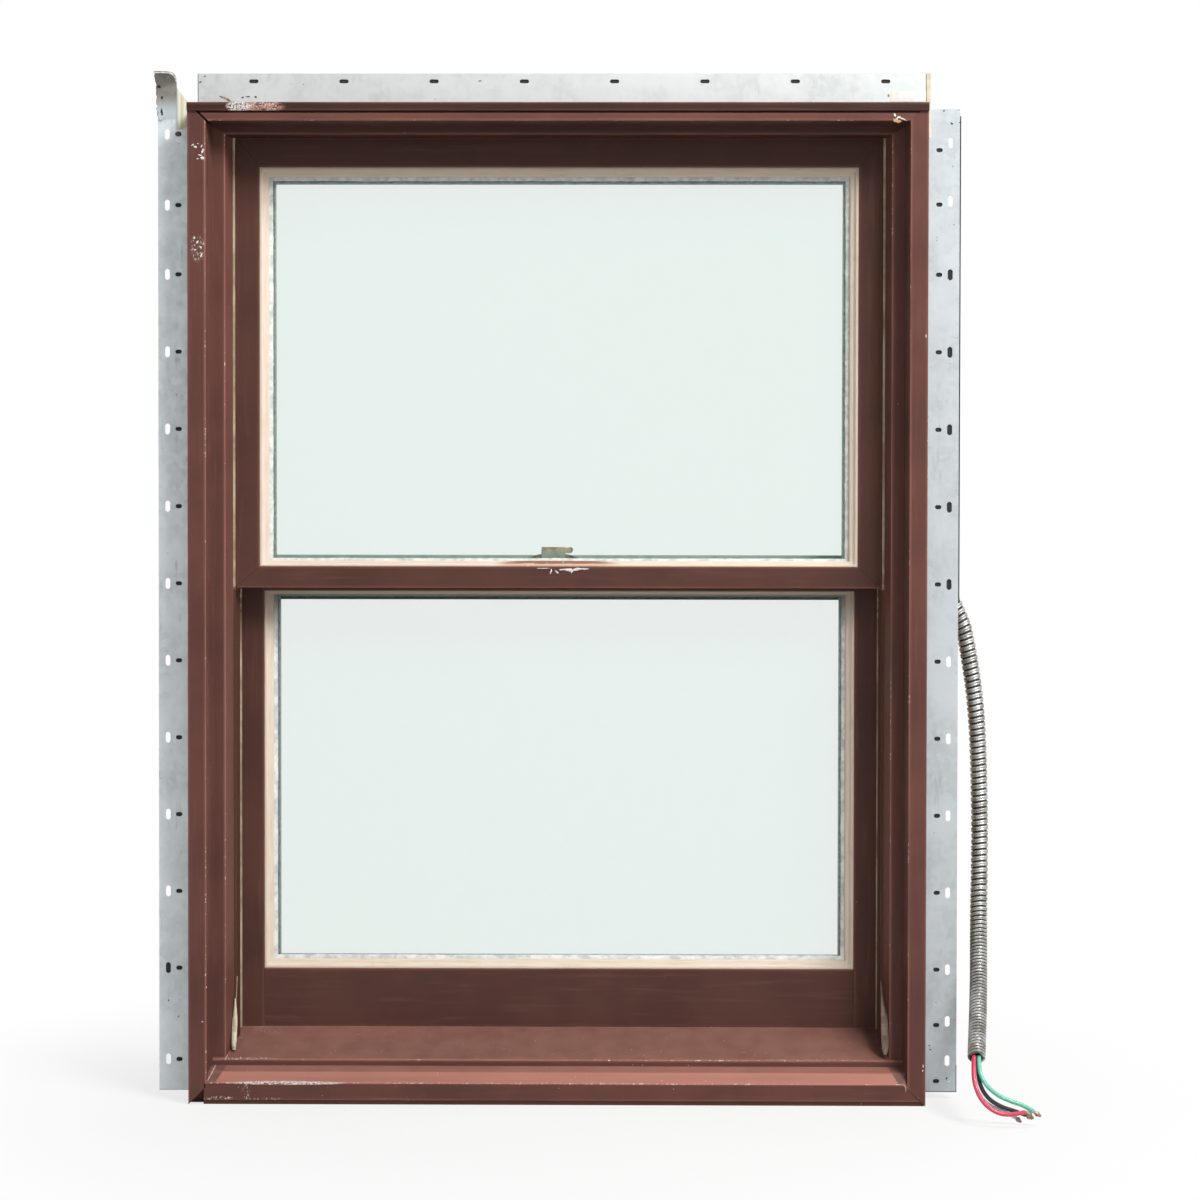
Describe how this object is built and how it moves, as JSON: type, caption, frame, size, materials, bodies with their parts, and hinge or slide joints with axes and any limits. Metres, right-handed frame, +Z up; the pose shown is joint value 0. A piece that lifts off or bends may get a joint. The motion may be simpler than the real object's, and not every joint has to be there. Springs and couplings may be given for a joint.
{
  "type": "double-hung window",
  "caption": "Double-hung window with a brown clad wood frame, two glazed sashes, slotted nailing fins, a sash lock and a loose flexible conduit with wires.",
  "frame": {"origin": "centre of the sill's underside", "axes": "+X to the right seen from outside, -Y towards the outside, +Z up"},
  "size_m": [1.1196, 0.2811, 1.3206],
  "materials": {
    "pine": "bare, fine grain",
    "brown_cladding": "satin brown enamel, scraped and dusty",
    "brown_sash": "satin brown enamel",
    "beige_liner": "matt vinyl",
    "galvanised_steel": "dull zinc with spangle",
    "cream_tape": "matt",
    "black_gasket": "matt",
    "lock_metal": "satin champagne enamel",
    "zinc_casting": "cast, dull",
    "green_insulation": "gloss",
    "red_insulation": "gloss",
    "black_insulation": "gloss",
    "white_insulation": "gloss",
    "copper": "bare drawn copper",
    "cream_bead": "primed, matt",
    "white_sealant": "matt",
    "grey_spacer": "dull",
    "clear_glass": "clear, faintly green"
  },
  "bodies": {
    "root": {"head_jamb": "pine", "left_jamb": "pine", "right_jamb": "pine", "sill": "pine", "head_stop": "pine", "left_stop": "pine", "right_stop": "pine", "head_cladding": "brown_cladding", "left_jamb_cladding": "brown_cladding", "right_jamb_cladding": "brown_cladding", "sill_cladding": "brown_cladding", "head_drip_cap": "brown_cladding", "left_jamb_liner": "beige_liner", "right_jamb_liner": "beige_liner", "head_fin": "galvanised_steel", "left_fin": "galvanised_steel", "right_fin": "galvanised_steel", "left_fin_flap": "galvanised_steel", "left_fin_gusset": "cream_tape", "right_corner_strip": "cream_tape", "right_fin_edge_strip": "black_gasket", "sash_lock": "lock_metal", "sash_lock_lever": "lock_metal", "sash_lock_keeper": "lock_metal", "conduit_connector": "zinc_casting", "conduit": "galvanised_steel", "green_wire": "green_insulation", "red_wire": "red_insulation", "black_wire": "black_insulation", "white_wire": "white_insulation", "wire_tips": "copper", "upper_sash_left_stile": "brown_sash", "upper_sash_right_stile": "brown_sash", "upper_sash_top_rail": "brown_sash", "upper_sash_bottom_rail": "brown_sash", "upper_glazing_bead": "cream_bead", "upper_glass_sealant": "white_sealant", "upper_glass_spacer": "grey_spacer", "upper_glass": "clear_glass", "lower_sash_left_stile": "brown_sash", "lower_sash_right_stile": "brown_sash", "lower_sash_top_rail": "brown_sash", "lower_sash_bottom_rail": "brown_sash", "lower_glazing_bead": "cream_bead", "lower_glass_sealant": "white_sealant", "lower_glass_spacer": "grey_spacer", "lower_glass": "clear_glass"}
  },
  "joints": []
}
